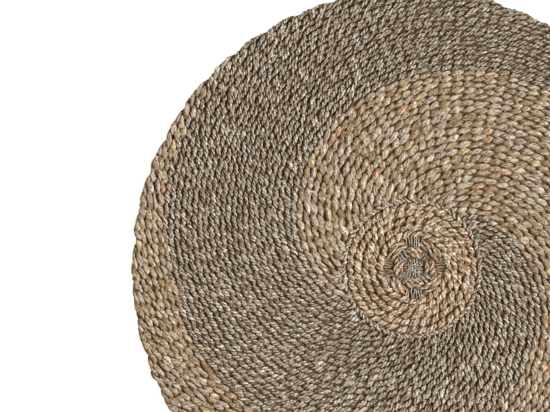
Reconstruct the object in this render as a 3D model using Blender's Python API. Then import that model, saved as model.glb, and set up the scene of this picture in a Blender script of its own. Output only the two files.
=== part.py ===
"""Round rug, woven in one piece from water hyacinth and seagrass cord, lying flat.

The rows of cord swirl out from the middle and each one turns back on itself at the rim,
so the edge is a ring of shallow scallops, one between each two row ends. The rows lie
closer together on one side of the rug. Metres, +Z up, with the origin on the floor under
the middle of the rug.
"""

from math import cos, radians, sin, tau

import bpy

# Driving dimensions
DIAMETER = 1.2
THICKNESS = 0.016
RIM_ROUNDING = 0.006
ROW_ENDS = 50
FIRST_ROW_END = radians(-3.09)
# Waves in one turn of the rim, how far each shifts the row ends, and where it starts.
CROWDING = ((1, radians(5.77), radians(152.9)), (2, radians(1.2), radians(141.0)))
SCALLOP_DEPTH = 0.0032
POINTS_PER_SCALLOP = 6
RIM_BEVEL_STEPS = 1
WELD_DISTANCE = 0.00005

SEAGRASS_COLOUR = (0.36, 0.27, 0.19, 1.0)
SEAGRASS_ROUGHNESS = 0.85


def clear_scene():
    for old in list(bpy.data.objects):
        bpy.data.objects.remove(old, do_unlink=True)


def make_collection(name):
    collection = bpy.data.collections.new(name)
    bpy.context.scene.collection.children.link(collection)
    return collection


def cord_material():
    material = bpy.data.materials.new("woven_seagrass")
    material.use_nodes = True
    shader = material.node_tree.nodes["Principled BSDF"]
    shader.inputs["Base Color"].default_value = SEAGRASS_COLOUR
    shader.inputs["Roughness"].default_value = SEAGRASS_ROUGHNESS
    shader.inputs["Metallic"].default_value = 0.0
    return material


def row_end_angle(number):
    """Where a row meets the rim. The row ends crowd together on one side of the rug."""
    turn = tau * number / ROW_ENDS
    shifts = (shift * sin(waves * turn + start) for waves, shift, start in CROWDING)
    return FIRST_ROW_END + turn + sum(shifts)


def rim_radius(share):
    """Radius of the rim at a share of the way along one scallop, from valley to valley.

    A scallop is a shallow arc: highest in its middle, lowest at the two row ends.
    """
    from_middle = 2.0 * share - 1.0
    return DIAMETER / 2 - SCALLOP_DEPTH * from_middle**2


def rim_points():
    points = []
    for row in range(ROW_ENDS):
        start, end = row_end_angle(row), row_end_angle(row + 1)
        for step in range(POINTS_PER_SCALLOP):
            share = step / POINTS_PER_SCALLOP
            angle = start + (end - start) * share
            radius = rim_radius(share)
            points.append((radius * cos(angle), radius * sin(angle), 0.0))
    return points


def woven_rug(collection):
    """The whole cloth: a flat sheet as thick as the cords, with a softly rounded rim."""
    outline = bpy.data.curves.new("woven_rug", "CURVE")
    outline.dimensions = "2D"
    outline.fill_mode = "BOTH"
    outline.extrude = THICKNESS / 2 - RIM_ROUNDING
    outline.bevel_depth = RIM_ROUNDING
    outline.bevel_resolution = RIM_BEVEL_STEPS
    outline.offset = -RIM_ROUNDING
    points = rim_points()
    spline = outline.splines.new("POLY")
    spline.points.add(len(points) - 1)
    for point, place in zip(spline.points, points):
        point.co = (*place, 1.0)
    spline.use_cyclic_u = True
    outline.materials.append(cord_material())
    rug = bpy.data.objects.new("woven_rug", outline)
    rug.location.z = THICKNESS / 2
    collection.objects.link(rug)
    weld = rug.modifiers.new("close_caps", "WELD")
    weld.merge_threshold = WELD_DISTANCE
    return rug


clear_scene()
woven_rug(make_collection("round_hyacinth_rug"))
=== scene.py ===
"""Round rug of water hyacinth and seagrass, woven in one piece and lying flat.

The weaver works from the middle outwards, and so does this file: the crossed cords of the
start, the inner disc, the ring, the swirl of rows out to the rim, and the warps inside
them. Every strand is modelled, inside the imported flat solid's own size.
"""

from math import cos, pi, radians, sin, tau

import bpy
import numpy as np
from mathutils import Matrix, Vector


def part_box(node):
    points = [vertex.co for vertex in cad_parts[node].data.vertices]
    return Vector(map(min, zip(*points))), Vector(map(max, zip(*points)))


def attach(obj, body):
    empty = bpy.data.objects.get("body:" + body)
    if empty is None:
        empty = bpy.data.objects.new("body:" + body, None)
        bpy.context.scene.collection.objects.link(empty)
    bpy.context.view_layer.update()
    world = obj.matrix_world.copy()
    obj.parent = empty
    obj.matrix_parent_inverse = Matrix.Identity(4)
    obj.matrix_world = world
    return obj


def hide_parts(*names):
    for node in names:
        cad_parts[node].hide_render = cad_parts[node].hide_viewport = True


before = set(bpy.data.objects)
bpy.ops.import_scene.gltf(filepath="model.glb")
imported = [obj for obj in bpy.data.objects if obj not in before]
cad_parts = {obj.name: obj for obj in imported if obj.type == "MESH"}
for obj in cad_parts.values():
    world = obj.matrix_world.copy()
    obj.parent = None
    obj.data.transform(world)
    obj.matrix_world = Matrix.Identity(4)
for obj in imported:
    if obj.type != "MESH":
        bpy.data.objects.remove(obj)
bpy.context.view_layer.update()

# The camera -----------------------------------------------------------------------------
# The camera looks straight down from far above, with the rug's right and lower parts out
# of view.

VIEW_WIDTH = 1.177
VIEW_CENTRE = (-0.2928, 0.1337)
CAMERA_HEIGHT = 10.0
SENSOR_WIDTH = 36.0
FARTHEST_SEEN = 60.0

rug_low, rug_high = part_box("woven_rug")
rug_radius = (rug_high[0] - rug_low[0]) / 2
rug_thickness = rug_high[2] - rug_low[2]

camera_data = bpy.data.cameras.new("camera")
camera_data.sensor_width = SENSOR_WIDTH
camera_data.lens = SENSOR_WIDTH * (CAMERA_HEIGHT - rug_thickness) / VIEW_WIDTH
camera_data.clip_end = FARTHEST_SEEN
camera = bpy.data.objects.new("camera", camera_data)
camera.location = (*VIEW_CENTRE, CAMERA_HEIGHT)
bpy.context.scene.collection.objects.link(camera)
bpy.context.scene.camera = camera

# The light ------------------------------------------------------------------------------
# A window at the right lights the rug from about half-way up. The room's own light, which
# fills the shadows, is warm, though the room itself looks plain.

WINDOW_STRENGTH = 4.9
WINDOW_WIDTH = radians(5)
WINDOW_FROM_OVERHEAD = radians(48)
WINDOW_BEARING = radians(-2)
WINDOW_COLOUR = (0.96, 1.0, 1.05)
FILL_STRENGTH = 0.46
FILL_COLOUR = (1.0, 0.84, 0.66, 1.0)
ROOM_COLOUR = (0.95, 0.97, 1.0, 1.0)


class Signal:
    """A node's output, on which arithmetic adds Math nodes."""

    def __init__(self, net, socket):
        self.net = net
        self.socket = socket

    def maths(self, operation, *others):
        values = dict(enumerate((self, *others)))
        return self.net.signal("ShaderNodeMath", {"operation": operation}, values)

    def maths_after(self, operation, first):
        """Maths in which this signal is the second value."""
        return self.net.signal("ShaderNodeMath", {"operation": operation}, {0: first, 1: self})

    def __add__(self, other):
        return self.maths("ADD", other)

    def __mul__(self, other):
        return self.maths("MULTIPLY", other)

    def __sub__(self, other):
        return self.maths("SUBTRACT", other)

    def __truediv__(self, other):
        return self.maths("DIVIDE", other)

    def __rsub__(self, other):
        return self.maths_after("SUBTRACT", other)

    def __rtruediv__(self, other):
        return self.maths_after("DIVIDE", other)

    __radd__ = __add__
    __rmul__ = __mul__


class Net:
    """A node tree with one way to add a node."""

    def __init__(self, tree):
        self.tree = tree

    def node(self, kind, settings=None, sockets=None):
        made = self.tree.nodes.new(kind)
        for name, value in (settings or {}).items():
            if name == "stops":
                self.set_stops(made.color_ramp, value)
            else:
                setattr(made, name, value)
        for name, value in (sockets or {}).items():
            self.feed(made.inputs[name], value)
        return made

    def set_stops(self, ramp, stops):
        while len(ramp.elements) < len(stops):
            ramp.elements.new(0.5)
        for element, (place, colour) in zip(ramp.elements, stops):
            element.position = place
            element.color = (*colour, 1.0)

    def feed(self, socket, value):
        if isinstance(value, Signal):
            self.tree.links.new(value.socket, socket)
        else:
            socket.default_value = value

    def signal(self, kind, settings=None, sockets=None, output=0):
        return Signal(self, self.node(kind, settings, sockets).outputs[output])

    def blend(self, amount, a, b, kind="MIX"):
        settings = {"data_type": "RGBA", "blend_type": kind}
        return self.signal("ShaderNodeMix", settings, {0: amount, 6: a, 7: b}, 2)

    def vector(self, operation, a, b=(0, 0, 0), output=0):
        return self.signal("ShaderNodeVectorMath", {"operation": operation}, {0: a, 1: b}, output)

    def scaled(self, a, by):
        return self.signal("ShaderNodeVectorMath", {"operation": "SCALE"}, {0: a, "Scale": by})

    def joined(self, x=0.0, y=0.0, z=0.0):
        return self.signal("ShaderNodeCombineXYZ", {}, {0: x, 1: y, 2: z})

    def split(self, vector):
        made = self.node("ShaderNodeSeparateXYZ", {}, {0: vector})
        return [Signal(self, output) for output in made.outputs]

    def noise(self, place, scale, detail=1.0, roughness=0.5):
        sockets = {"Vector": place, "Scale": scale, "Detail": detail, "Roughness": roughness}
        return self.signal("ShaderNodeTexNoise", {"noise_dimensions": "3D"}, sockets)

    def chance(self, key):
        """An even random number for each whole-number key."""
        settings = {"noise_dimensions": "3D"}
        return self.signal("ShaderNodeTexWhiteNoise", settings, {"Vector": key})

    def ramp(self, amount, stops):
        return self.signal("ShaderNodeValToRGB", {"stops": stops}, {"Fac": amount})


window_data = bpy.data.lights.new("window_light", "SUN")
window_data.energy = WINDOW_STRENGTH
window_data.angle = WINDOW_WIDTH
window_data.color = WINDOW_COLOUR
window = bpy.data.objects.new("window_light", window_data)
window.rotation_euler = (0.0, WINDOW_FROM_OVERHEAD, WINDOW_BEARING)
bpy.context.scene.collection.objects.link(window)

room = bpy.data.worlds.new("soft_room")
room.use_nodes = True
room_net = Net(room.node_tree)
room_shader = room.node_tree.nodes["Background"]
room_shader.inputs["Strength"].default_value = FILL_STRENGTH
room_in_view = room_net.signal("ShaderNodeLightPath", output="Is Camera Ray")
room_light = room_net.blend(room_in_view, FILL_COLOUR, ROOM_COLOUR)
room_net.feed(room_shader.inputs["Color"], room_light)
bpy.context.scene.world = room
bpy.context.scene.view_settings.view_transform = "Standard"

# The floor ------------------------------------------------------------------------------
# A plain pale floor, bright enough to look white. It lies half a millimetre beneath the
# rug, so that the two never touch.

FLOOR_SIZE = 30.0
FLOOR_DROP = 0.0005
FLOOR_COLOUR = (0.93, 0.93, 0.92, 1.0)
FLOOR_ROUGHNESS = 0.9
FLOOR_GLOW_COLOUR = (1.0, 1.0, 1.0, 1.0)
FLOOR_GLOW = 0.72

bpy.ops.mesh.primitive_plane_add(size=FLOOR_SIZE, location=(0.0, 0.0, -FLOOR_DROP))
floor = bpy.context.object
floor.name = "floor"
floor_paint = bpy.data.materials.new("pale_floor")
floor_paint.use_nodes = True
floor_shader = floor_paint.node_tree.nodes["Principled BSDF"]
floor_shader.inputs["Base Color"].default_value = FLOOR_COLOUR
floor_shader.inputs["Roughness"].default_value = FLOOR_ROUGHNESS
floor_shader.inputs["Emission Color"].default_value = FLOOR_GLOW_COLOUR
floor_shader.inputs["Emission Strength"].default_value = FLOOR_GLOW
floor.data.materials.append(floor_paint)

# The start: crossed bundles of thin cord ------------------------------------------------
# The maker lays four flat bundles of thin grey cord across each other, two of them woven
# through each other. Their ends are the first warps, which the rug's strands go round.

MID_HEIGHT = rug_thickness / 2
# What the strand tree is told. Swing, ply spread and ply width are shares of half a strand's
# width, and ply turns and roll are whole turns in one stitch, which is half a twist.
STRAND_INPUTS = (
    ("Lines", "Geometry", None),
    ("Swing", "Float", 0.0),
    ("Plies", "Int", 1),
    ("Ply turns", "Float", 0.0),
    ("Ply drift", "Float", 0.0),
    ("Ply spread", "Float", 0.0),
    ("Ply width", "Float", 1.0),
    ("Flatness", "Float", 1.0),
    ("Plumpness", "Float", 0.0),
    ("Unevenness", "Float", 0.0),
    ("Dents", "Float", 0.0),
    ("Roll", "Float", 0.0),
    ("Sides", "Int", 5),
    ("Finish", "Material", None),
)
# How fast a strand's bulk, path, twist, swelling and dents change along it.
BULK_CHANGES = 1.7
PATH_CHANGES = 0.9
TWIST_CHANGES = 0.6
SWELL_CHANGES = 1.8
DENT_CHANGES = 1.6
SWELL_UNEVENNESS = 1.3
# A strand that nears a face of the rug gives way, the more suddenly the higher this is.
FACE_HARDNESS = 8.0
# How much painted shade darkens a groove between plies, how soon as the plies spread
# apart, and how fast a strand comes out of that painted shade as it rises to a face.
GROOVE_SHADE = 0.62
GROOVE_ONSET = 10.0
CROWN_RISE = 1.35


class StrandNet(Net):
    """A net of geometry nodes, which keeps notes on points as named attributes."""

    def note(self, name, kind="FLOAT"):
        settings = {"data_type": kind}
        return self.signal("GeometryNodeInputNamedAttribute", settings, {"Name": name})

    def keep(self, geometry, name, value, kind="FLOAT"):
        settings = {"data_type": kind, "domain": "POINT"}
        sockets = {"Geometry": geometry, "Name": name, "Value": value}
        return self.signal("GeometryNodeStoreNamedAttribute", settings, sockets)

    def moved(self, geometry, **sockets):
        return self.signal("GeometryNodeSetPosition", {}, {"Geometry": geometry, **sockets})

    def place(self):
        return self.signal("GeometryNodeInputPosition")

    def phase(self):
        """The angle of a strand's swing from one side of the warps to the other."""
        return (self.note("stitch") + self.note("strand")) * pi

    def strand_key(self):
        """A place in the noise, which moves on along a strand and differs between strands.

        The factors in this key and the later ones only keep neighbours from being alike.
        """
        stitch, row, strand = self.note("stitch"), self.note("row"), self.note("strand")
        return self.joined(stitch * 0.7, row * 7.3, strand * 5.1)

    def bulk(self, given):
        """Half a strand's width, a little uneven along it."""
        uneven = (self.noise(self.strand_key(), BULK_CHANGES) - 0.5) * (given["Unevenness"] * 2.0)
        return self.note("half_width") * (1.0 + uneven)


def broadened(wave):
    """A wave from -1 to 1 with broader crests and troughs."""
    return wave * (1.5 - wave * wave * 0.5)


def lay_plies(net, given):
    """Copies each line for every ply, and bends the copies to where the plies run."""
    lines = net.signal("GeometryNodeMeshToCurve", {}, {"Mesh": given["Lines"]})
    copies = net.node(
        "GeometryNodeDuplicateElements",
        {"domain": "SPLINE"},
        {"Geometry": lines, "Amount": given["Plies"]},
    )
    lines = net.keep(Signal(net, copies.outputs[0]), "ply", Signal(net, copies.outputs[1]))
    lines = net.keep(lines, "station", net.signal("GeometryNodeInputIndex"))

    # A strand swings from side to side and from face to face.
    half_width, key = net.note("half_width"), net.strand_key()
    wander = (net.noise(key, PATH_CHANGES) - 0.5) * (given["Unevenness"] * 2.0) * half_width
    sideways = net.phase().maths("SINE") * half_width * given["Swing"] * net.note("sway")
    tangent = net.signal("GeometryNodeInputTangent")
    left = net.vector("NORMALIZE", net.vector("CROSS_PRODUCT", (0, 0, 1), tangent))
    lift = net.joined(z=broadened(net.phase().maths("COSINE")) * net.note("lift"))
    core = net.vector("ADD", net.scaled(left, sideways + wander), lift)

    # The plies wind round the strand's core.
    along = net.note("stitch") + net.note("strand")
    twist = along * given["Ply turns"] + net.note("ply") / given["Plies"]
    twist = (twist + (net.noise(key, TWIST_CHANGES) - 0.5) * given["Ply drift"]) * tau
    spread = given["Ply spread"] * net.bulk(given)
    aside = net.scaled(left, twist.maths("COSINE") * spread)
    above = net.joined(z=twist.maths("SINE") * spread * given["Flatness"])
    lines = net.keep(lines, "ply_away", net.vector("ADD", aside, above), "FLOAT_VECTOR")
    lines = net.moved(lines, Offset=core)
    lines = net.keep(lines, "core", net.place(), "FLOAT_VECTOR")
    lines = net.moved(lines, Offset=net.note("ply_away", "FLOAT_VECTOR"))
    lines = net.keep(lines, "spine", net.place(), "FLOAT_VECTOR")
    roll = along * given["Roll"] * tau
    return net.signal("GeometryNodeSetCurveTilt", {}, {"Curve": lines, "Tilt": roll})


def grow_tubes(net, given, lines):
    """A dented tube along each ply, a little flat, and plumpest where it shows most."""
    stitch, strand, row, ply = (net.note(key) for key in ("stitch", "strand", "row", "ply"))
    ring = net.signal(
        "GeometryNodeCurvePrimitiveCircle", {}, {"Resolution": given["Sides"], "Radius": 1.0}
    )
    ply_key = net.joined(stitch * 1.1, row * 5.7 + 3.0, strand * 4.3 + ply * 9.1)
    uneven = (net.noise(ply_key, SWELL_CHANGES, detail=2.0) - 0.5) * (given["Unevenness"] * 2.0)
    swell = 1.0 + (net.phase() * 2.0).maths("COSINE") * given["Plumpness"]
    swell = swell * (1.0 + uneven * SWELL_UNEVENNESS)
    tube = net.signal(
        "GeometryNodeCurveToMesh",
        {},
        {
            "Curve": lines,
            "Profile Curve": net.keep(ring, "across", net.place(), "FLOAT_VECTOR"),
            "Scale": net.bulk(given) * swell * given["Ply width"],
            "Fill Caps": True,
        },
    )
    dent_key = net.joined(row * 3.7 + ply * 1.9, strand * 5.3, stitch * 2.6)
    dent_key = net.vector("ADD", net.note("across", "FLOAT_VECTOR"), dent_key)
    dent = 1.0 + (net.noise(dent_key, DENT_CHANGES) - 0.5) * given["Dents"] * 2.0
    spine = net.note("spine", "FLOAT_VECTOR")
    away = net.vector("SUBTRACT", net.place(), spine)
    away = net.vector("MULTIPLY", away, net.joined(dent, dent, given["Flatness"] * dent))
    return net.moved(tube, Position=net.vector("ADD", spine, away))


def press_between_faces(net, tube):
    """Strands flatten softly at the rug's two faces, and so stay within its thickness."""
    x, y, z = net.split(net.place())
    level = (z - MID_HEIGHT) / MID_HEIGHT
    limit = level.maths("ABSOLUTE").maths("POWER", FACE_HARDNESS) + 1.0
    limit = limit.maths("POWER", 1.0 / FACE_HARDNESS)
    return net.moved(tube, Position=net.joined(x, y, (level / limit + 1.0) * MID_HEIGHT))


def crown(net, given):
    """1 on the outside of a ply near the rug's face, and less down in the grooves, for painted
    shade.
    """
    place, spine = net.place(), net.note("spine", "FLOAT_VECTOR")
    outwards = net.vector("SUBTRACT", spine, net.note("core", "FLOAT_VECTOR"))
    outwards = net.vector("NORMALIZE", outwards)
    away = net.vector("NORMALIZE", net.vector("SUBTRACT", place, spine))
    facing = net.vector("DOT_PRODUCT", away, outwards, "Value")
    spread = (given["Ply spread"] * GROOVE_ONSET).maths("MINIMUM", 1.0)
    height = (net.split(place)[2] - MID_HEIGHT).maths("ABSOLUTE") / MID_HEIGHT
    return (1.0 - (1.0 - facing) * GROOVE_SHADE * spread).maths("MINIMUM", height * CROWN_RISE)


def strand_tree():
    """Geometry nodes that twist plies along each line and twine the lines in pairs."""
    tree = bpy.data.node_groups.new("twined_strands", "GeometryNodeTree")
    for name, kind, value in STRAND_INPUTS:
        made = tree.interface.new_socket(name=name, in_out="INPUT", socket_type="NodeSocket" + kind)
        if value is not None:
            made.default_value = value
    tree.interface.new_socket(name="Strands", in_out="OUTPUT", socket_type="NodeSocketGeometry")
    net = StrandNet(tree)
    entry = net.node("NodeGroupInput")
    given = {name: Signal(net, entry.outputs[name]) for name, _, _ in STRAND_INPUTS}

    tube = grow_tubes(net, given, lay_plies(net, given))
    tube = press_between_faces(net, tube)
    # Below 1 where the finish paints shade into the grooves and low flanks.
    tube = net.keep(tube, "crown", crown(net, given))
    for name in ("spine", "core", "ply_away"):
        tube = net.signal("GeometryNodeRemoveAttribute", {}, {"Geometry": tube, "Name": name})
    tube = net.signal("GeometryNodeSetShadeSmooth", {}, {"Geometry": tube})
    tube = net.signal("GeometryNodeRealizeInstances", {}, {"Geometry": tube})
    finish = {"Geometry": tube, "Material": given["Finish"]}
    tube = net.signal("GeometryNodeSetMaterial", {}, finish)
    net.feed(net.node("NodeGroupOutput").inputs["Strands"], tube)
    return tree


twined = strand_tree()
LINE_NOTES = ("stitch", "strand", "row", "half_width", "lift", "sway")


def strand_line(places, stitch, half_width, strand=0, row=0, lift=0.0, sway=1.0):
    """A line for one strand, with what the strand tree needs to know of each point."""
    values = (stitch, strand, row, half_width, lift, sway)
    notes = {key: np.broadcast_to(value, len(places)) for key, value in zip(LINE_NOTES, values)}
    return {"places": np.asarray(places, float), **notes}


# In cells of a piece's map: the gap above and below each line, how far to either side of
# their cell's edge a strand's two end caps lie, and their half width and half height.
MAP_GAP = 0.06
CAP_SHIFT = 0.3
CAP_SIZE = (0.18, 0.4)


def numbers(items, key, width=1, kind=np.float32):
    """One attribute of a mesh's parts as an array."""
    found = np.empty(len(items) * width, kind)
    items.foreach_get(key, found)
    return found.reshape(-1, width) if width > 1 else found


def lay_out_map(mesh, sides):
    """Gives the strands a map on which they lie side by side like lines of writing."""
    station = numbers(mesh.attributes["station"].data, "value")
    across = numbers(mesh.attributes["across"].data, "vector", 3)
    around = np.round(np.arctan2(across[:, 1], across[:, 0]) / tau * sides) % sides / sides
    places = numbers(mesh.vertices, "co", 3)
    ends = numbers(mesh.edges, "vertices", 2, np.int32)
    lengths = np.linalg.norm(places[ends[:, 0]] - places[ends[:, 1]], axis=1)
    lengthwise = station[ends[:, 0]] != station[ends[:, 1]]
    goes_on = np.isin(station, station[ends[lengthwise]].min(axis=1))
    girth, pace = sides * lengths[~lengthwise].mean(), lengths[lengthwise].mean()
    stations = station.max() + 1
    per_row = np.ceil(np.sqrt(stations * girth / pace))
    rows = np.ceil(stations / per_row)

    corner = numbers(mesh.loops, "vertex_index", kind=np.int32)
    first = numbers(mesh.polygons, "loop_start", kind=np.int32)
    face = np.repeat(np.arange(len(first)), np.diff(np.append(first, len(corner))))
    station, around, goes_on = station[corner], around[corner], goes_on[corner]
    begins, lowest = np.minimum.reduceat(station, first), np.minimum.reduceat(around, first)
    is_cap = (begins == np.maximum.reduceat(station, first))[face]
    wraps = (np.maximum.reduceat(around, first) - lowest > 0.5)[face]
    # Each stretch between two rings has a cell. The caps share the cell after a strand's end.
    cap_x = np.where(goes_on, -CAP_SHIFT, CAP_SHIFT) + CAP_SIZE[0] * np.cos(tau * around)
    x = (begins[face] + np.where(is_cap, cap_x, 0)) % stations
    row = x // per_row
    x = x + (station - begins[face]) - row * per_row
    side_y = 1 - around - (wraps & (around < 0.5))
    y = np.where(is_cap, 0.5 + CAP_SIZE[1] * np.sin(tau * around), side_y)
    y = row + MAP_GAP + (1 - 2 * MAP_GAP) * y
    spots = np.stack([x / per_row, y / rows], axis=1)
    layer = mesh.uv_layers.new(name="OFBake")
    layer.uv.foreach_set("vector", spots.astype(np.float32).ravel())


def twine(name, lines, finish, slot, **sizes):
    """Makes strands along the lines as one plain mesh that rides on the rug's body."""
    starts = np.cumsum([0] + [len(each["places"]) for each in lines])
    stretches = zip(starts, starts[1:])
    edges = [(i, i + 1) for begin, end in stretches for i in range(begin, end - 1)]
    line_mesh = bpy.data.meshes.new(name + "_lines")
    places = np.concatenate([each["places"] for each in lines])
    line_mesh.from_pydata(places.tolist(), edges, [])
    for key in LINE_NOTES:
        layer = line_mesh.attributes.new(key, "FLOAT", "POINT")
        values = np.concatenate([each[key] for each in lines])
        layer.data.foreach_set("value", values.astype(np.float32))
    piece = bpy.data.objects.new(name, line_mesh)
    bpy.context.scene.collection.objects.link(piece)
    modifier = piece.modifiers.new("twine", "NODES")
    modifier.node_group = twined
    ids = {s.name: s.identifier for s in twined.interface.items_tree if s.in_out == "INPUT"}
    for key, value in sizes.items():
        modifier[ids[key.replace("_", " ").capitalize()]] = value
    modifier[ids["Finish"]] = finish
    shown = piece.evaluated_get(bpy.context.evaluated_depsgraph_get())
    strands = bpy.data.meshes.new_from_object(shown)
    strands.name = name
    piece.modifiers.clear()
    piece.data = strands
    bpy.data.meshes.remove(line_mesh)
    lay_out_map(strands, sizes["sides"])
    for key in ("half_width", "lift", "sway", "station"):
        strands.attributes.remove(strands.attributes[key])
    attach(piece, "root")


WHITE = (1.0, 1.0, 1.0)
# How much of a strand's tone changes with each half twist, and how much along its run.
LUMP_SHARE = 0.32
RUN_SHARE = 0.9
TONE_SHIFT = -0.11
TINT_CHANGES = 0.8
TINT_CONTRAST = 1.8
TINT_SHIFT = -0.4
# Painted shade darkens thin creases, which run lengthwise like the fibres, and the grooves; flecks
# lie anyhow.
CREASE_SHADE_TONES = [(0.0, (0.50, 0.38, 0.27)), (1.0, WHITE)]
FIBRE_TONES = [(0.0, (0.30, 0.225, 0.165)), (0.45, (0.92, 0.92, 0.92)), (1.0, (1.17, 1.17, 1.17))]
FLECK_TONES = [(0.0, (0.40, 0.32, 0.25)), (0.5, WHITE), (1.0, (1.18, 1.18, 1.18))]
GROOVE_SHADE_COLOUR = (0.54, 0.375, 0.235)
GROOVE_SHADE_FULL = 0.18
FIBRE_CONTRAST = 3.1
FLECK_CONTRAST = 3.4
FLECKS_TO_A_METRE = 270.0
CREASE_STRETCH = (1.0, 1.0, 0.6)
CREASE_LINES = 0.9
CREASE_SHARPNESS = 9.0
ODD_EDGE_SHARPNESS = 500.0
ODD_STRENGTH = 0.8
STALK_ROUGHNESS = 0.72
FIBRE_SHEEN = 0.25
STALK_GLOSS = 0.2
FIBRE_RELIEF = 0.7
CREASE_RELIEF = 0.5
RELIEF_STRENGTH = 0.8
RELIEF_DEPTH = 0.0015


def fibre_finish(
    name, tones, tints, odd_tones, odd_share, fibre_lines, contrast, run, mottle=1.0, groove_shade_top=0.74
):
    """Dried stalk or cord: tones along each strand, fibres lengthwise, painted shade in the grooves.

    Fibres are finer as fibre_lines grows, and shorter as run grows.
    """
    made = bpy.data.materials.new(name)
    made.use_nodes = True
    net = Net(made.node_tree)
    shader = made.node_tree.nodes["Principled BSDF"]

    def note(key, output="Fac"):
        return net.signal("ShaderNodeAttribute", {"attribute_name": key}, {}, output)

    def shaded(colour, by):
        return net.blend(1.0, colour, by, "MULTIPLY")

    stitch, strand, row, ply = note("stitch"), note("strand"), note("row"), note("ply")
    across = note("across", "Vector")

    # The tone differs a little from one half twist to the next, and more between strands.
    lump = (stitch + strand + 0.5).maths("FLOOR")
    lump_key = net.joined(lump, strand * 3.1 + row * 7.0, ply * 2.0)
    run_key = net.joined(stitch * 0.45, strand * 9.7 + ply * 4.1, row * 5.3)
    tone = net.chance(lump_key) * LUMP_SHARE + net.noise(run_key, 1.0, detail=2.0) * RUN_SHARE
    tone = tone + TONE_SHIFT
    colour = net.ramp((tone - 0.5) * contrast + 0.5, tones)
    tint_key = net.joined(row * 4.1, strand * 7.7 + ply * 3.3, stitch * 1.7)
    tint_key = net.vector("ADD", across, tint_key)
    tint = net.noise(tint_key, TINT_CHANGES) * TINT_CONTRAST + TINT_SHIFT
    colour = shaded(colour, net.ramp(tint, tints))
    odd = net.chance(net.joined(lump + 50.0, strand + row * 3.0, 7.0))
    odd = ((odd - (1.0 - odd_share)) * ODD_EDGE_SHARPNESS).maths("MINIMUM", 1.0)
    odd = odd.maths("MAXIMUM", 0.0) * ODD_STRENGTH
    colour = net.blend(odd, colour, net.ramp(net.chance(lump_key), odd_tones))

    along = net.vector("ADD", across, net.joined(0.0, 0.0, stitch * run))
    along = net.vector("ADD", along, net.joined(row * 3.3, strand * 17.0 + ply * 5.9, 0.0))
    # Thin lengthwise crease lines get a bump and, in the colour, painted shade of the fold.
    crease = net.noise(net.vector("MULTIPLY", along, CREASE_STRETCH), CREASE_LINES)
    crease = ((crease - 0.5).maths("ABSOLUTE") * CREASE_SHARPNESS).maths("MINIMUM", 1.0)
    colour = shaded(colour, net.ramp(crease, CREASE_SHADE_TONES))
    fibres = net.noise(along, fibre_lines, detail=3.0, roughness=0.65)
    fibre_shade = (fibres - 0.5) * (FIBRE_CONTRAST * mottle) + 0.5
    colour = shaded(colour, net.ramp(fibre_shade, FIBRE_TONES))
    where = net.signal("ShaderNodeTexCoord", {}, {}, "Object")
    fleck = net.noise(where, FLECKS_TO_A_METRE, detail=1.5, roughness=0.6)
    fleck_shade = (fleck - 0.5) * (FLECK_CONTRAST * mottle) + 0.5
    colour = shaded(colour, net.ramp(fleck_shade, FLECK_TONES))
    # Painted shade: the grooves between plies and the low flanks of strands are darkened in the
    # colour.
    groove_shade_tones = [(GROOVE_SHADE_FULL, GROOVE_SHADE_COLOUR), (groove_shade_top, WHITE)]
    colour = shaded(colour, net.ramp(note("crown"), groove_shade_tones))

    height = fibres * FIBRE_RELIEF + (crease + fleck) * CREASE_RELIEF
    relief = {"Strength": RELIEF_STRENGTH, "Distance": RELIEF_DEPTH, "Height": height}
    net.feed(shader.inputs["Base Color"], colour)
    net.feed(shader.inputs["Roughness"], STALK_ROUGHNESS - fibres * FIBRE_SHEEN)
    net.feed(shader.inputs["Normal"], net.signal("ShaderNodeBump", {}, relief))
    shader.inputs["Specular IOR Level"].default_value = STALK_GLOSS
    return made


# The start lies a little off the rug's middle.
START_OFFSET = np.array([0.0045, 0.0021])
CORD_RADIUS = 0.0014
CORD_PITCH = 0.0040
CORD_POINTS = 79
CORD_CLEARANCE = 0.001
CORD_STITCH = 0.008
# Direction, how many cords, and how far each end sinks among the strands.
BUNDLES = (
    (0, 7, 0.0016, 0.0022),
    (45, 5, 0.0030, 0.0014),
    (90, 7, 0.0, 0.0),
    (135, 5, 0.0006, 0.0),
)
WOVEN_TURNS = (0, 90)
BUNDLE_REACH = 0.078
SINK_REACH = 0.02
# Past this distance from the middle the cords of a bundle fan out, and their pitch grows
# by so many times itself for each metre.
FAN_FROM = 0.030
FAN_RATE = 13
# Where a bundle goes over or under a strand, how far each cord strays from that, and how
# long it takes to rise or dive there.
CROSSINGS = (0.0205, 0.0445, 0.0685)
CROSSING_STRAY = 0.0042
CROSSING_LENGTH = 0.0028
WOVEN_HEIGHT = 0.0112
WEAVE_RISE = 0.0016
CORD_BENEATH = 0.0055
CORD_UP = 0.0122
CORD_DOWN = 0.0052
# Random sways of a cord, sideways and up and down, between points along it.
STRAY_REACH = 0.08
SIDEWAYS_STRAY = 0.0019
SIDEWAYS_STRAYS = 17
UPWARD_STRAY = 0.0006
UPWARD_STRAYS = 13

cord_finish = fibre_finish(
    "grey_warp_cord",
    tones=[(0.0, (0.33, 0.303, 0.247)), (0.5, (0.60, 0.575, 0.50)), (1.0, (0.85, 0.84, 0.78))],
    tints=[(0.0, (0.95, 0.95, 1.0)), (1.0, (1.0, 0.98, 0.9))],
    odd_tones=[(0.0, (0.5, 0.42, 0.3)), (1.0, (0.5, 0.4, 0.36))],
    odd_share=0.0,
    fibre_lines=1.2,
    contrast=1.3,
    run=3.0,
)


def strays(dice, along, count, amount):
    """Gradually changing random moves at each place along a cord."""
    marks = np.linspace(-STRAY_REACH, STRAY_REACH, count)
    return np.interp(along, marks, dice.uniform(-1, 1, count)) * amount


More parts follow.
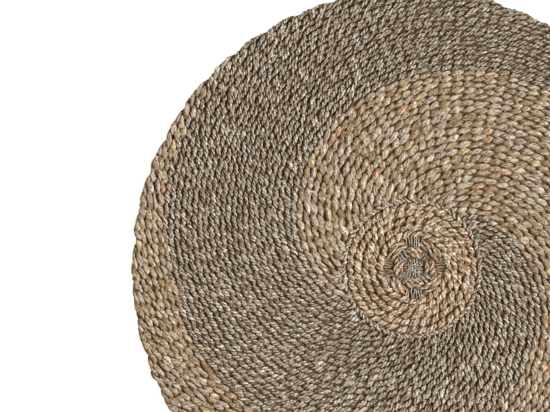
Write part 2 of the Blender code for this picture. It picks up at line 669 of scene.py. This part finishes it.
def bundle_cord(turn, number, count, sink_near, sink_far):
    """One cord right across the start, woven in the middle, dipping where strands pass."""
    along = np.linspace(-BUNDLE_REACH, BUNDLE_REACH, CORD_POINTS)
    far = np.abs(along)
    side = (number - (count - 1) / 2) * CORD_PITCH * (1 + FAN_RATE * np.maximum(far - FAN_FROM, 0))
    dice = np.random.default_rng(100 * turn + number)
    side = side + strays(dice, along, SIDEWAYS_STRAYS, SIDEWAYS_STRAY)
    edges = CROSSINGS + dice.uniform(-CROSSING_STRAY, CROSSING_STRAY, len(CROSSINGS))
    near, mid, far_out = (0.5 + 0.5 * np.tanh((far - edge) / CROSSING_LENGTH) for edge in edges)
    sink = np.where(along > 0, sink_near, sink_far) * np.clip(far / SINK_REACH, 0, 1)
    if turn in WOVEN_TURNS:
        over_under = pi * along / CORD_PITCH + pi * (number + turn // 90)
        weave = WOVEN_HEIGHT + WEAVE_RISE * np.cos(over_under)
        heights = (weave, CORD_DOWN, CORD_UP, CORD_DOWN)
    else:
        heights = (CORD_BENEATH, CORD_UP, CORD_DOWN, CORD_DOWN)
    height = heights[0] * (1 - near) + heights[1] * (near - mid)
    height = height + heights[2] * (mid - far_out) + heights[3] * far_out - sink
    height = height + strays(dice, along, UPWARD_STRAYS, UPWARD_STRAY)
    height = np.maximum(height, CORD_RADIUS + CORD_CLEARANCE)
    cosine, sine = cos(radians(turn)), sin(radians(turn))
    x, y = along * cosine - side * sine, along * sine + side * cosine
    places = np.stack([x, y, height], axis=1)
    places[:, :2] += START_OFFSET
    return strand_line(places, along / CORD_STITCH, CORD_RADIUS, row=turn + number)


start_cords = [
    bundle_cord(turn, number, count, near, far)
    for turn, count, near, far in BUNDLES
    for number in range(count)
]
twine(
    "start_cords", start_cords, cord_finish, "warp_cord",
    plies=1, ply_width=1.0, unevenness=0.5, sides=6,
)

# The inner disc -------------------------------------------------------------------------
# Reddish hyacinth. Its first four turns are single strands that go over and under whole
# bundles. After them it is twined in pairs, round and round to the ring.

DISC_START = 0.0230
SINGLE_TURNS = 4
SINGLE_PITCH = 0.0104
SINGLE_POINTS = 61
SINGLE_HALF_WIDTH = 0.0066
SINGLE_SLIMNESS = 0.9
SINGLE_SWELL = 0.12
SINGLE_LIFT = 0.0038
SINGLE_RISE = 0.0008
FIRST_BUNDLE_GAP = radians(22.5)
DISC_EDGE = 0.1405
# The rounds take this much radius to move from the start's middle to the rug's.
DISC_CENTRING = 0.07
DISC_ROUNDS = 5
DISC_STITCH = 0.0212
DISC_STEPS_PER_STITCH = 8
DISC_PULL = 0.22
DISC_STRAND_DEPTH = 0.27
# Where the first round closes, and how much further on each later one does, in degrees.
ROUND_CLOSES = 200
ROUND_CLOSES_STEP = 67
ROUND_WAVES = 3
ROUND_WAVE = 0.0008
STITCHES_BETWEEN_PULLS = 1.5
# The row numbers of these strands and the seed of their pulls, unlike all others'.
SINGLE_ROWS = 200
TWINED_ROWS = 300
ROUND_SEED = 50

red_finish = fibre_finish(
    "red_hyacinth",
    tones=[
        (0.0, (0.43, 0.288, 0.175)),
        (0.35, (0.575, 0.476, 0.362)),
        (0.7, (0.675, 0.62, 0.525)),
        (1.0, (0.785, 0.77, 0.71)),
    ],
    tints=[
        (0.0, (1.0, 0.94, 0.91)),
        (0.4, (1.0, 0.98, 0.96)),
        (0.7, (1.0, 1.0, 0.94)),
        (1.0, (0.98, 1.0, 0.84)),
    ],
    odd_tones=[(0.0, (0.58, 0.29, 0.17)), (0.5, (0.60, 0.38, 0.24)), (1.0, (0.55, 0.44, 0.26))],
    odd_share=0.04,
    fibre_lines=1.2,
    contrast=1.25,
    run=3.0,
)


def closed_pulls(stitch, seed, amount):
    """Random pulls along a closed round, none where it closes."""
    marks = np.linspace(0, stitch[-1], int(stitch[-1] / STITCHES_BETWEEN_PULLS) + 2)
    moves = np.random.default_rng(seed).uniform(-amount, amount, len(marks))
    moves[[0, -1]] = 0
    return np.interp(stitch, marks, moves)


def round_places(radius, turn, height):
    """Points of a round whose middle moves to the rug's middle as the rounds grow."""
    shift = START_OFFSET * np.clip((DISC_EDGE - np.mean(radius)) / DISC_CENTRING, 0, 1)
    flat = np.stack([radius * np.cos(turn), radius * np.sin(turn)], axis=1) + shift
    return np.column_stack([flat, height])


def single_round(number):
    """One strand over every other bundle; from the third round on, over the rest."""
    flip = 1 if number < SINGLE_TURNS / 2 else -1
    turn = np.linspace(0.0, -tau, SINGLE_POINTS) + FIRST_BUNDLE_GAP
    radius = np.full_like(turn, DISC_START + SINGLE_PITCH * (number + 0.5))
    crest = flip * np.cos(len(BUNDLES) * turn)
    height = MID_HEIGHT + SINGLE_RISE + SINGLE_LIFT * broadened(crest)
    width = SINGLE_HALF_WIDTH * (SINGLE_SLIMNESS + SINGLE_SWELL * crest)
    places = round_places(radius, turn, height)
    return strand_line(places, len(BUNDLES) * turn / pi, width, row=SINGLE_ROWS + number)


def twined_round(number, strand):
    """One strand of a twined pair, once round the disc."""
    first = DISC_START + SINGLE_TURNS * SINGLE_PITCH
    pitch = (DISC_EDGE - first) / DISC_ROUNDS
    middle = first + pitch * (number + 0.5)
    stitches = 2 * round(tau * middle / DISC_STITCH / 2)
    stitch = np.arange(stitches * DISC_STEPS_PER_STITCH + 1) / DISC_STEPS_PER_STITCH
    pulled = stitch + closed_pulls(stitch, ROUND_SEED + number, DISC_PULL)
    turn = radians(ROUND_CLOSES + ROUND_CLOSES_STEP * number) - pulled * tau / stitches
    radius = middle + ROUND_WAVE * np.sin(turn * ROUND_WAVES + number)
    places = round_places(radius, turn, np.full_like(turn, MID_HEIGHT))
    lift = MID_HEIGHT - DISC_STRAND_DEPTH * pitch
    return strand_line(places, stitch, pitch / 2, strand, TWINED_ROWS + number, lift)


twine(
    "disc_start_turns", [single_round(number) for number in range(SINGLE_TURNS)],
    red_finish, "red_hyacinth",
    plies=2, ply_turns=-0.9, ply_drift=0.9, ply_spread=0.40, ply_width=0.52, flatness=0.8,
    unevenness=0.5, sides=7,
)
disc_lines = [twined_round(number, strand) for number in range(DISC_ROUNDS) for strand in (0, 1)]
twine(
    "disc_rounds", disc_lines, red_finish, "red_hyacinth",
    swing=0.36, plies=2, ply_turns=-1.15, ply_drift=1.1, ply_spread=0.36, ply_width=0.58,
    flatness=0.62, plumpness=0.12, unevenness=0.6, dents=0.8, sides=6,
)

# The ring round the disc ----------------------------------------------------------------
# One thin pale cord, twisted from two plies, laid round the disc before the rows begin.
# Its fellow lies on the underside.

RING_MIDDLE = 0.1458
RING_HALF_WIDTH = 0.0057
RING_DEPTH = 0.0062
RING_STITCH = 0.0105
RING_STEPS = 380
RING_ROWS = (400, 401)


def ring_line(height, row):
    """A circle just outside the disc."""
    turn = np.arange(RING_STEPS + 1) * (tau / RING_STEPS)
    x, y = RING_MIDDLE * np.cos(turn), RING_MIDDLE * np.sin(turn)
    places = np.stack([x, y, np.full_like(turn, height)], axis=1)
    return strand_line(places, turn * RING_MIDDLE / RING_STITCH, RING_HALF_WIDTH, row=row)


ring_heights = (rug_thickness - RING_DEPTH, RING_DEPTH)
twine(
    "ring_cord", [ring_line(height, row) for height, row in zip(ring_heights, RING_ROWS)],
    cord_finish, "grey_seagrass",
    plies=2, ply_turns=0.5, ply_drift=1.3, ply_spread=0.48, ply_width=0.52, unevenness=0.75,
    sides=6,
)

# The swirl of rows ----------------------------------------------------------------------
# Fifty rows leave the ring round the inner disc and wind out to the rim, clockwise from
# above. Each is a pair of strands twined round the warp cords that it crosses.

ROWS = 50
RING_RADIUS = 0.1500
RADIUS_STEP = 0.002
START_SHIFT = radians(8.2)
START_SHIFT_TURN = radians(228)
ARM_LAST_START = radians(208)
# Metres outwards for each radian: out at the rim, and what is added further in.
RIM_SLOPE = 0.0933
INNER_SLOPE = 0.0315
SLOPE_CHANGES_AT = 0.389
SLOPE_CHANGE_LENGTH = 0.0385
# Near the ring the rows are steeper on one side of the rug than on the other.
SIDE_SLOPE = 0.0330
SIDE_SLOPE_FROM = 0.182
SIDE_SLOPE_FADE = 0.109
STEEP_SIDE = radians(108)
LEAST_SLOPE = 0.02


def row_slope(radius, angle):
    """Metres that a row moves outwards for each radian that it turns clockwise."""
    change = (radius - SLOPE_CHANGES_AT) / SLOPE_CHANGE_LENGTH
    steady = RIM_SLOPE + INNER_SLOPE / (1 + np.exp(change))
    leaning = SIDE_SLOPE * np.exp(-(radius - SIDE_SLOPE_FROM) / SIDE_SLOPE_FADE)
    return np.maximum(steady + leaning * np.cos(angle - STEEP_SIDE), LEAST_SLOPE)


def swirl(starts, radii, steepness=1.0):
    """Angles at each radius (rows) of lines that start at the given angles (columns)."""
    angles = [np.asarray(starts, float)]
    for near, far in zip(radii, radii[1:]):
        half_way = angles[-1] - (far - near) / 2 / (steepness * row_slope(near, angles[-1]))
        slope = steepness * row_slope((near + far) / 2, half_way)
        angles.append(angles[-1] - (far - near) / slope)
    return np.array(angles)


# Rows are counted from the arm's outer edge, so row numbers grow anticlockwise from there.
even_starts = ARM_LAST_START - tau + tau * (np.arange(-1, ROWS + 1) + 1) / ROWS
row_starts = even_starts + START_SHIFT * np.sin(even_starts - START_SHIFT_TURN)
RIM_RUN_OUT = 0.003
ideal_radii = np.arange(RING_RADIUS, rug_radius + RIM_RUN_OUT + RADIUS_STEP / 2, RADIUS_STEP)
all_angles = swirl(row_starts, ideal_radii)
row_angles = all_angles[:, 1:-1]
spacing = (all_angles[:, 2:] - all_angles[:, :-2]) / 2

# Near the rim a row narrows over its last few stitches and runs out along the edge, and
# its very end turns back and goes down beneath the next row.
TIP_HALF_WIDTH = 0.0015
END_LENGTH = 0.0045
slopes = row_slope(ideal_radii[:, None], row_angles)
lean = slopes / np.hypot(slopes, ideal_radii[:, None])
to_rim = rug_radius + RIM_RUN_OUT - ideal_radii
room_at_rim = TIP_HALF_WIDTH + to_rim / 2
half_widths = np.minimum(spacing * ideal_radii[:, None] * lean / 2, room_at_rim[:, None])
under = np.maximum(1 - to_rim / END_LENGTH, 0) ** 2
from_edge = np.maximum(to_rim - RIM_RUN_OUT, room_at_rim)
row_radii = rug_radius - from_edge - END_LENGTH * under

# Warp cords run outwards square to the rows, and more of them are laid in at each of
# these radii, so that a stitch stays about as long as it was.
STITCH_LENGTH = 0.0248
WARP_RADII = (0.15, 0.178, 0.215, 0.262, 0.325, 0.405, 0.505, 0.61)
WARP_BLEND = 0.012
mean_slope = row_slope(ideal_radii, pi)
warp_steps = (mean_slope / ideal_radii**2)[:-1] * np.diff(ideal_radii)
warp_lean = np.concatenate(([0], np.cumsum(warp_steps)))


def warps_between(inner, outer):
    """How many warps it takes between two radii for stitches of the usual length."""
    middle = (inner + outer) / 2
    slope = float(row_slope(middle, pi))
    return round(tau * middle**2 / np.hypot(middle, slope) / STITCH_LENGTH)


def eased(share):
    """A share from 0 to 1 that starts and ends gently."""
    share = np.clip(share, 0, 1)
    return share * share * (3 - 2 * share)


def stitch_counts():
    """How many stitches each row has made at each radius, even with its neighbours'."""
    outline = warp_lean[:, None] - row_angles
    zones = list(zip(WARP_RADII, WARP_RADII[1:]))
    counts = warps_between(*zones[0]) * outline / tau
    for inner, outer in zones[1:]:
        at = np.searchsorted(ideal_radii, inner)
        later = warps_between(inner, outer) * outline / tau
        later = later + np.round(counts[at] - later[at])
        share = eased((ideal_radii - inner) / WARP_BLEND + 0.5)[:, None]
        counts = counts * (1 - share) + later * share
    return counts


row_stitches = stitch_counts()

# Tan hyacinth fills one broad arm of the swirl; the rest is grey seagrass.
ARM_INNER_EDGE_START = radians(53.5)
ARM_INNER_EDGE_STEEPNESS = 0.85
arm_edge = swirl([ARM_INNER_EDGE_START], ideal_radii, ARM_INNER_EDGE_STEEPNESS)


def smooth_rise(low, high, value):
    """0 below low, 1 above high, and a smooth rise between."""
    return eased((value - low) / (high - low))


# Out in the last turn the band is a little wider than the swirl alone would make it: first
# between two radii, and then again right at the rim.
WIDER_BAND = radians(9)
WIDER_BAND_BEGINS = (0.44, 0.47)
WIDER_BAND_ENDS = (0.525, 0.545)
WIDER_RIM = radians(5)
WIDER_RIM_BEGINS = (0.55, 0.565)
widening = WIDER_BAND * smooth_rise(*WIDER_BAND_BEGINS, ideal_radii)
widening = widening * (1 - smooth_rise(*WIDER_BAND_ENDS, ideal_radii))
widening = widening + WIDER_RIM * smooth_rise(*WIDER_RIM_BEGINS, ideal_radii)
arm_edge = arm_edge - widening[:, None]

# The rim bulges a little where each row runs along it and dips where the row ends.
SCALLOP_DEPTH = 0.0018
SCALLOPS_BEGIN = (0.535, 0.59)
row_ends = np.sort(row_angles[-1] % tau)
row_ends = np.concatenate([[row_ends[-1] - tau], row_ends, [row_ends[0] + tau]])


def rim_dip(angle):
    """How far in from the full radius the rim lies at each angle."""
    angle = angle % tau
    after = np.clip(np.searchsorted(row_ends, angle), 1, len(row_ends) - 1)
    gap = row_ends[after] - row_ends[after - 1]
    share = (angle - row_ends[after - 1]) / gap
    return SCALLOP_DEPTH * (2 * share - 1) ** 2


# A strand's depth below the face is in half widths, and a stitch's pull is in stitches.
STEPS_PER_STITCH = {"tan": 6, "grey": 9}
STRAND_DEPTH = 0.56
STITCH_PULL = 0.24
ROW_WANDER = 0.0007
ROW_WANDERS = 200
END_DIVE = 0.45
FULL_HEIGHT_WIDTH = 0.0055
NARROW_RISE = 0.45
# From this radius outwards the work is looser.
LOOSER_FROM = 0.47
LOOSENING_LENGTH = 0.03
LOOSE_PULL = 0.5
LOOSE_WANDER = 0.8
LOOSE_SWAY = {"tan": 0.35, "grey": 0.0}
PULL_SEED = 1000
WANDER_SEED = 3000


def looseness(radius):
    """0 where the work is tight, and 1 where it is as loose as it gets."""
    return smooth_rise(LOOSER_FROM, LOOSER_FROM + LOOSENING_LENGTH, radius)


def pulls(row, counts):
    """How far each stitch of a row is pulled along it, in stitches."""
    marks = np.arange(np.floor(counts[0]) - 1, counts[-1] + 2, STITCHES_BETWEEN_PULLS)
    dice = np.random.default_rng(PULL_SEED + row)
    pull = np.interp(counts, marks, dice.uniform(-STITCH_PULL, STITCH_PULL, len(marks)))
    return pull * (1 + LOOSE_PULL * looseness(ideal_radii))


def row_line(row, strand, first, last, fibre):
    """A strand of one row between two stitch counts."""
    stitch = np.linspace(first, last, round((last - first) * STEPS_PER_STITCH[fibre]) + 1)
    counts = row_stitches[:, row]
    counts = counts + pulls(row, counts)
    radius = np.interp(stitch, counts, row_radii)
    angle = np.interp(stitch, counts, row_angles[:, row])
    width = np.interp(stitch, counts, half_widths[:, row])
    loose = looseness(radius)
    dice = np.random.default_rng(WANDER_SEED + row)
    wander = dice.uniform(-ROW_WANDER, ROW_WANDER, ROW_WANDERS)
    marks = np.arange(ROW_WANDERS) * STITCHES_BETWEEN_PULLS
    wander = np.interp(stitch - counts[0], marks, wander)
    radius = radius + wander * (1 + LOOSE_WANDER * loose)
    radius = radius - rim_dip(angle) * smooth_rise(*SCALLOPS_BEGIN, radius)
    height = MID_HEIGHT * (1 - END_DIVE * np.interp(stitch, counts, under))
    places = np.stack([radius * np.cos(angle), radius * np.sin(angle), height], axis=1)
    fullness = NARROW_RISE + (1 - NARROW_RISE) * width / FULL_HEIGHT_WIDTH
    lift = height * np.minimum(1.0, fullness) - STRAND_DEPTH * width
    sway = 1 + LOOSE_SWAY[fibre] * loose
    return strand_line(places, stitch, width, strand, row, lift, sway)


# A strand changes from one fibre to the other where it is hidden beneath its partner, and
# never for fewer than two stitches. Far out, the places where they change spread apart.
FIBRE_CHANGE_SPREAD = radians(3)
CHANGES_SPREAD_FROM = (0.45, 0.5)
FEWEST_STITCHES = 2


def rows_by_fibre():
    """Every strand of the swirl, as tan lines and grey lines."""
    groups = {"tan": [], "grey": []}
    for row in range(ROWS):
        counts = row_stitches[:, row]
        for strand in (0, 1):
            dice = np.random.default_rng(2 * row + strand)
            early = dice.normal(0, FIBRE_CHANGE_SPREAD)
            early = early * smooth_rise(*CHANGES_SPREAD_FROM, ideal_radii)
            in_arm = row_angles[:, row] >= arm_edge[:, 0] + early
            ends = [counts[0]]
            for change in np.flatnonzero(np.diff(in_arm.astype(int))):
                hidden = 2 * round((counts[change] - 1 + strand) / 2) + 1 - strand
                if ends[-1] + FEWEST_STITCHES < hidden < counts[-1] - FEWEST_STITCHES:
                    ends.append(hidden)
            ends.append(counts[-1])
            for start, end in zip(ends, ends[1:]):
                middle = np.interp((start + end) / 2, counts, ideal_radii)
                fibre = "tan" if in_arm[np.searchsorted(ideal_radii, middle)] else "grey"
                groups[fibre].append(row_line(row, strand, start, end, fibre))
    return groups["tan"], groups["grey"]


def in_pieces(lines, count):
    """Splits the lines into groups of about the same length."""
    lengths = np.cumsum([len(each["places"]) for each in lines])
    group = (lengths - 1) * count // lengths[-1]
    return [[each for each, g in zip(lines, group) if g == i] for i in range(count)]


# A piece holds at most about a hundred thousand triangles.
GREY_PIECES = 5
TAN_PIECES = 4

tan_finish = fibre_finish(
    "tan_hyacinth",
    tones=[
        (0.0, (0.285, 0.190, 0.109)),
        (0.3, (0.400, 0.322, 0.234)),
        (0.65, (0.510, 0.449, 0.372)),
        (1.0, (0.645, 0.605, 0.545)),
    ],
    tints=[
        (0.0, (1.0, 0.96, 1.0)),
        (0.35, (1.0, 0.98, 0.97)),
        (0.65, (1.0, 1.0, 0.89)),
        (1.0, (0.98, 1.0, 0.70)),
    ],
    odd_tones=[(0.0, (0.60, 0.36, 0.23)), (0.5, (0.61, 0.44, 0.30)), (1.0, (0.57, 0.50, 0.27))],
    odd_share=0.055,
    fibre_lines=1.5,
    contrast=1.3,
    run=2.6,
    mottle=0.7,
    groove_shade_top=0.86,
)
grey_finish = fibre_finish(
    "grey_seagrass",
    tones=[
        (0.0, (0.37, 0.342, 0.268)),
        (0.35, (0.505, 0.496, 0.427)),
        (0.7, (0.622, 0.618, 0.557)),
        (1.0, (0.71, 0.712, 0.66)),
    ],
    tints=[
        (0.0, (0.99, 0.95, 1.0)),
        (0.4, (1.0, 0.985, 1.0)),
        (0.7, (1.0, 1.0, 0.94)),
        (1.0, (0.975, 1.0, 0.84)),
    ],
    odd_tones=[(0.0, (0.50, 0.44, 0.30)), (0.5, (0.42, 0.36, 0.32)), (1.0, (0.60, 0.49, 0.38))],
    odd_share=0.03,
    fibre_lines=1.0,
    contrast=1.2,
    run=4.0,
)
tan_lines, grey_lines = rows_by_fibre()
for number, group in enumerate(in_pieces(grey_lines, GREY_PIECES), 1):
    twine(
        f"seagrass_rows_{number}", group, grey_finish, "grey_seagrass",
        swing=0.38, plies=2, ply_turns=-1.35, ply_drift=1.1, ply_spread=0.41, ply_width=0.53,
        flatness=0.84, plumpness=0.12, unevenness=0.6, dents=0.8, sides=4,
    )
for number, group in enumerate(in_pieces(tan_lines, TAN_PIECES), 1):
    twine(
        f"hyacinth_rows_{number}", group, tan_finish, "tan_hyacinth",
        swing=0.37, plies=1, ply_width=0.85, flatness=0.72, plumpness=0.20, unevenness=0.46,
        dents=0.8, roll=-0.25, sides=8,
    )

# The warps inside the rows --------------------------------------------------------------
# The warp cords run outwards inside the rows, from the start to the rim, and only their
# shaded sides show between strands. One thin ribbed sheet stands for all of them, its
# colour painted dark with their shade.

GROUND_MARGIN = 0.006
GROUND_HALF_THICKNESS = 0.001
GROUND_RINGS = 14
FIRST_RING_SHARE = 0.02
RIBS = 96
POINTS_PER_RIB = 4
RIB_HEIGHT = 0.0005
FULL_RIBS_FROM = 0.25
THREADS_TO_A_METRE = 420.0
PATCHES_TO_A_METRE = 35.0
THREAD_SHARE = 0.6
# Painted shade: these dark tones stand for pale warp cord lying in deep shade.
GROUND_SHADE_TONES = [(0.3, (0.055, 0.036, 0.019)), (0.5, (0.09, 0.06, 0.033)), (0.7, (0.14, 0.10, 0.06))]
GROUND_RELIEF_STRENGTH = 0.7
GROUND_RELIEF_DEPTH = 0.001


def ground_points():
    """The sheet's upper and lower grids of points, each one followed by its middle."""
    around = np.arange(POINTS_PER_RIB * RIBS) * tau / (POINTS_PER_RIB * RIBS)
    radii = np.linspace(FIRST_RING_SHARE, 1, GROUND_RINGS)[:, None] * (rug_radius - GROUND_MARGIN)
    ribs = RIB_HEIGHT * np.cos(RIBS * around) * np.clip(radii / FULL_RIBS_FROM, 0, 1)
    x, y = radii * np.cos(around), radii * np.sin(around)
    points = []
    for side in (1, -1):
        grid = np.stack([x, y, MID_HEIGHT + side * (GROUND_HALF_THICKNESS + ribs)], axis=2)
        points += grid.reshape(-1, 3).tolist()
        points.append([0, 0, MID_HEIGHT + side * GROUND_HALF_THICKNESS])
    return points


def ground_faces():
    """Both grids, the wall that joins their rims, and the fans that close their middles."""
    turn = POINTS_PER_RIB * RIBS
    rim = (GROUND_RINGS - 1) * turn
    below = GROUND_RINGS * turn + 1
    faces = []
    for i in range(turn):
        j = (i + 1) % turn
        for inner in range(0, rim, turn):
            a, b, c, d = inner + i, inner + turn + i, inner + turn + j, inner + j
            faces.append((a, b, c, d))
            faces.append((below + d, below + c, below + b, below + a))
        faces.append((rim + i, below + rim + i, below + rim + j, rim + j))
        faces.append((i, j, below - 1))
        faces.append((below + j, below + i, 2 * below - 1))
    return faces


def ground_shade_finish():
    """Warp cord with its deep shade painted in: dark, dull, and a little patchy."""
    made = bpy.data.materials.new("painted_shade_warp_cord")
    made.use_nodes = True
    net = Net(made.node_tree)
    shader = made.node_tree.nodes["Principled BSDF"]
    where = net.signal("ShaderNodeTexCoord", {}, {}, "Object")
    threads = net.noise(where, THREADS_TO_A_METRE, detail=3.0, roughness=0.6)
    patches = net.noise(where, PATCHES_TO_A_METRE, detail=2.0)
    tone = threads * THREAD_SHARE + patches * (1 - THREAD_SHARE)
    relief = {"Strength": GROUND_RELIEF_STRENGTH, "Distance": GROUND_RELIEF_DEPTH, "Height": threads}
    net.feed(shader.inputs["Base Color"], net.ramp(tone, GROUND_SHADE_TONES))
    net.feed(shader.inputs["Normal"], net.signal("ShaderNodeBump", {}, relief))
    shader.inputs["Roughness"].default_value = 1.0
    shader.inputs["Specular IOR Level"].default_value = 0.0
    return made


ground_mesh = bpy.data.meshes.new("warp_ground")
ground_mesh.from_pydata(ground_points(), [], ground_faces())
ground_mesh.shade_smooth()
ground_mesh.materials.append(ground_shade_finish())
ground = bpy.data.objects.new("warp_ground", ground_mesh)
bpy.context.scene.collection.objects.link(ground)
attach(ground, "root")
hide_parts("woven_rug")
